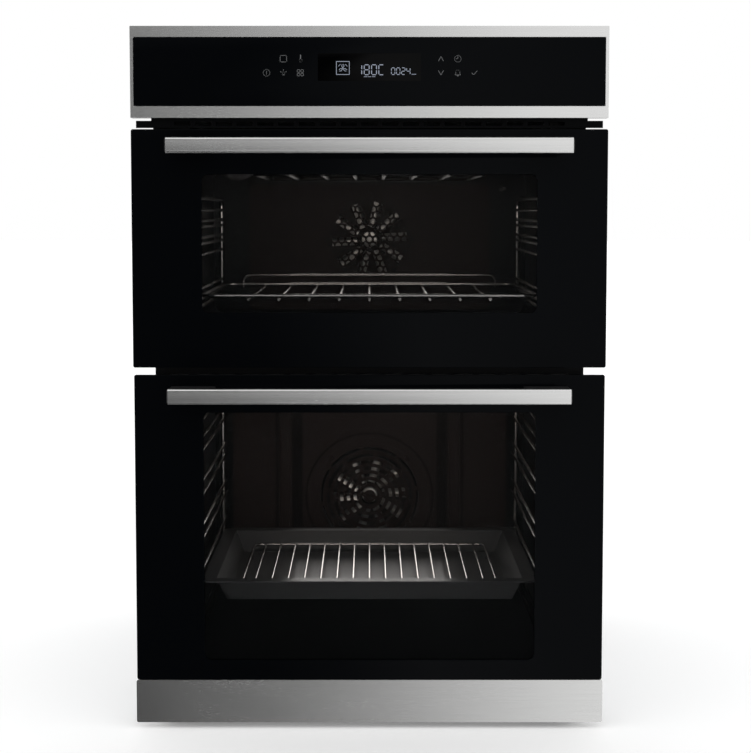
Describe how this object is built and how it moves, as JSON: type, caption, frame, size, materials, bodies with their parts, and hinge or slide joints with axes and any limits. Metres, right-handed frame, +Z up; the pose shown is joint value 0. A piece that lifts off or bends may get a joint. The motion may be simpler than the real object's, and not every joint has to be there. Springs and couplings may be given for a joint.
{
  "type": "wall oven",
  "caption": "Built-in double wall oven: a smaller oven over a larger one, drop-down glass doors with bar handles, and a touch control panel over both.",
  "frame": {"origin": "centre of the bounding box's footprint at the level of the housing shelf, under the base panel", "axes": "+X to the right seen from the front, +Y from the front to the back, +Z up"},
  "size_m": [0.594, 0.618, 0.888],
  "materials": {
    "galvanised_steel": "dull zinc spangle",
    "black_steel": "satin black",
    "door_frame": "satin black, powder coated",
    "enamel": "glossy speckled dark enamel",
    "mineral_wool": "loose fibre",
    "seal": "woven glass cord",
    "chromed_wire": "bright",
    "heating_tube": "oxidised steel tube",
    "fan_steel": "pressed sheet",
    "motor_steel": "bare laminations",
    "lamp_holder": "pressed sheet",
    "lamp_lens": "clear",
    "lamp_bulb": "glowing",
    "blower_sheet": "dull zinc",
    "black_plastic": "fine grain",
    "brushed_steel": "long horizontal grain",
    "black_glass": "polished black",
    "display": "dark with pale segments",
    "circuit_board": "green lacquer",
    "printed_glass": "black print round a clear window",
    "clear_glass": "clear",
    "zinc_steel": "zinc plated",
    "probe_steel": "bright"
  },
  "bodies": {
    "chassis": {"base_panel": "galvanised_steel", "left_side_panel": "galvanised_steel", "right_side_panel": "galvanised_steel", "top_cover": "galvanised_steel", "rear_panel": "galvanised_steel", "front_frame": "black_steel", "upper_cavity": "enamel", "lower_cavity": "enamel", "insulation": "mineral_wool", "upper_door_seal": "seal", "lower_door_seal": "seal", "upper_rack_left": "chromed_wire", "upper_rack_right": "chromed_wire", "lower_rack_left": "chromed_wire", "lower_rack_right": "chromed_wire", "upper_grill_element": "heating_tube", "lower_grill_element": "heating_tube", "base_elements": "heating_tube", "ring_elements": "heating_tube", "upper_fan_cover": "enamel", "lower_fan_cover": "enamel", "fan_motors": "motor_steel", "lamp_holders": "lamp_holder", "lamp_lenses": "lamp_lens", "lamp_bulbs": "lamp_bulb", "blower_housing": "blower_sheet", "blower_motor": "motor_steel", "vent_grille": "black_plastic", "control_fascia": "brushed_steel", "control_glass": "black_glass", "display_module": "display", "control_board": "circuit_board", "power_board": "circuit_board", "terminal_block": "black_plastic", "temperature_probes": "probe_steel", "hinge_arms": "zinc_steel", "casing_screws": "zinc_steel"},
    "upper_fan": {"upper_fan": "fan_steel"},
    "lower_fan": {"lower_fan": "fan_steel"},
    "blower_drum": {"blower_drum": "black_plastic"},
    "upper_shelf": {"upper_shelf": "chromed_wire"},
    "roasting_pan": {"roasting_pan": "enamel", "pan_trivet": "chromed_wire"},
    "upper_door": {"upper_door_outer_glass": "printed_glass", "upper_door_middle_glass": "clear_glass", "upper_door_inner_glass": "clear_glass", "upper_door_frame": "door_frame", "upper_door_top_trim": "black_plastic", "upper_door_hinges": "zinc_steel", "upper_handle_bar": "brushed_steel", "upper_handle_mounts": "black_plastic"},
    "lower_door": {"lower_door_outer_glass": "printed_glass", "lower_door_middle_glass": "clear_glass", "lower_door_inner_glass": "clear_glass", "lower_door_frame": "door_frame", "lower_door_top_trim": "black_plastic", "lower_door_hinges": "zinc_steel", "lower_door_strip": "brushed_steel", "lower_handle_bar": "brushed_steel", "lower_handle_mounts": "black_plastic"}
  },
  "joints": [
    {"name": "upper_door_hinge", "type": "hinge", "parent": "chassis", "child": "upper_door", "pos_m": [0, -0.249, 0.472], "axis": [1, 0, 0], "range_deg": [0, 90]},
    {"name": "lower_door_hinge", "type": "hinge", "parent": "chassis", "child": "lower_door", "pos_m": [0, -0.249, 0.017], "axis": [1, 0, 0], "range_deg": [0, 90]},
    {"name": "upper_shelf_slide", "type": "slide", "parent": "chassis", "child": "upper_shelf", "axis": [0, -1, 0], "range_m": [-0.04, 0.016]},
    {"name": "roasting_pan_slide", "type": "slide", "parent": "chassis", "child": "roasting_pan", "axis": [0, -1, 0], "range_m": [-0.02, 0.019]},
    {"name": "upper_fan_spin", "type": "hinge", "parent": "chassis", "child": "upper_fan", "pos_m": [0, 0.1785, 0.616], "axis": [0, -1, 0], "continuous": true},
    {"name": "lower_fan_spin", "type": "hinge", "parent": "chassis", "child": "lower_fan", "pos_m": [0, 0.1785, 0.2205], "axis": [0, -1, 0], "continuous": true},
    {"name": "blower_spin", "type": "hinge", "parent": "chassis", "child": "blower_drum", "pos_m": [0, 0.196, 0.796], "axis": [1, 0, 0], "continuous": true}
  ]
}
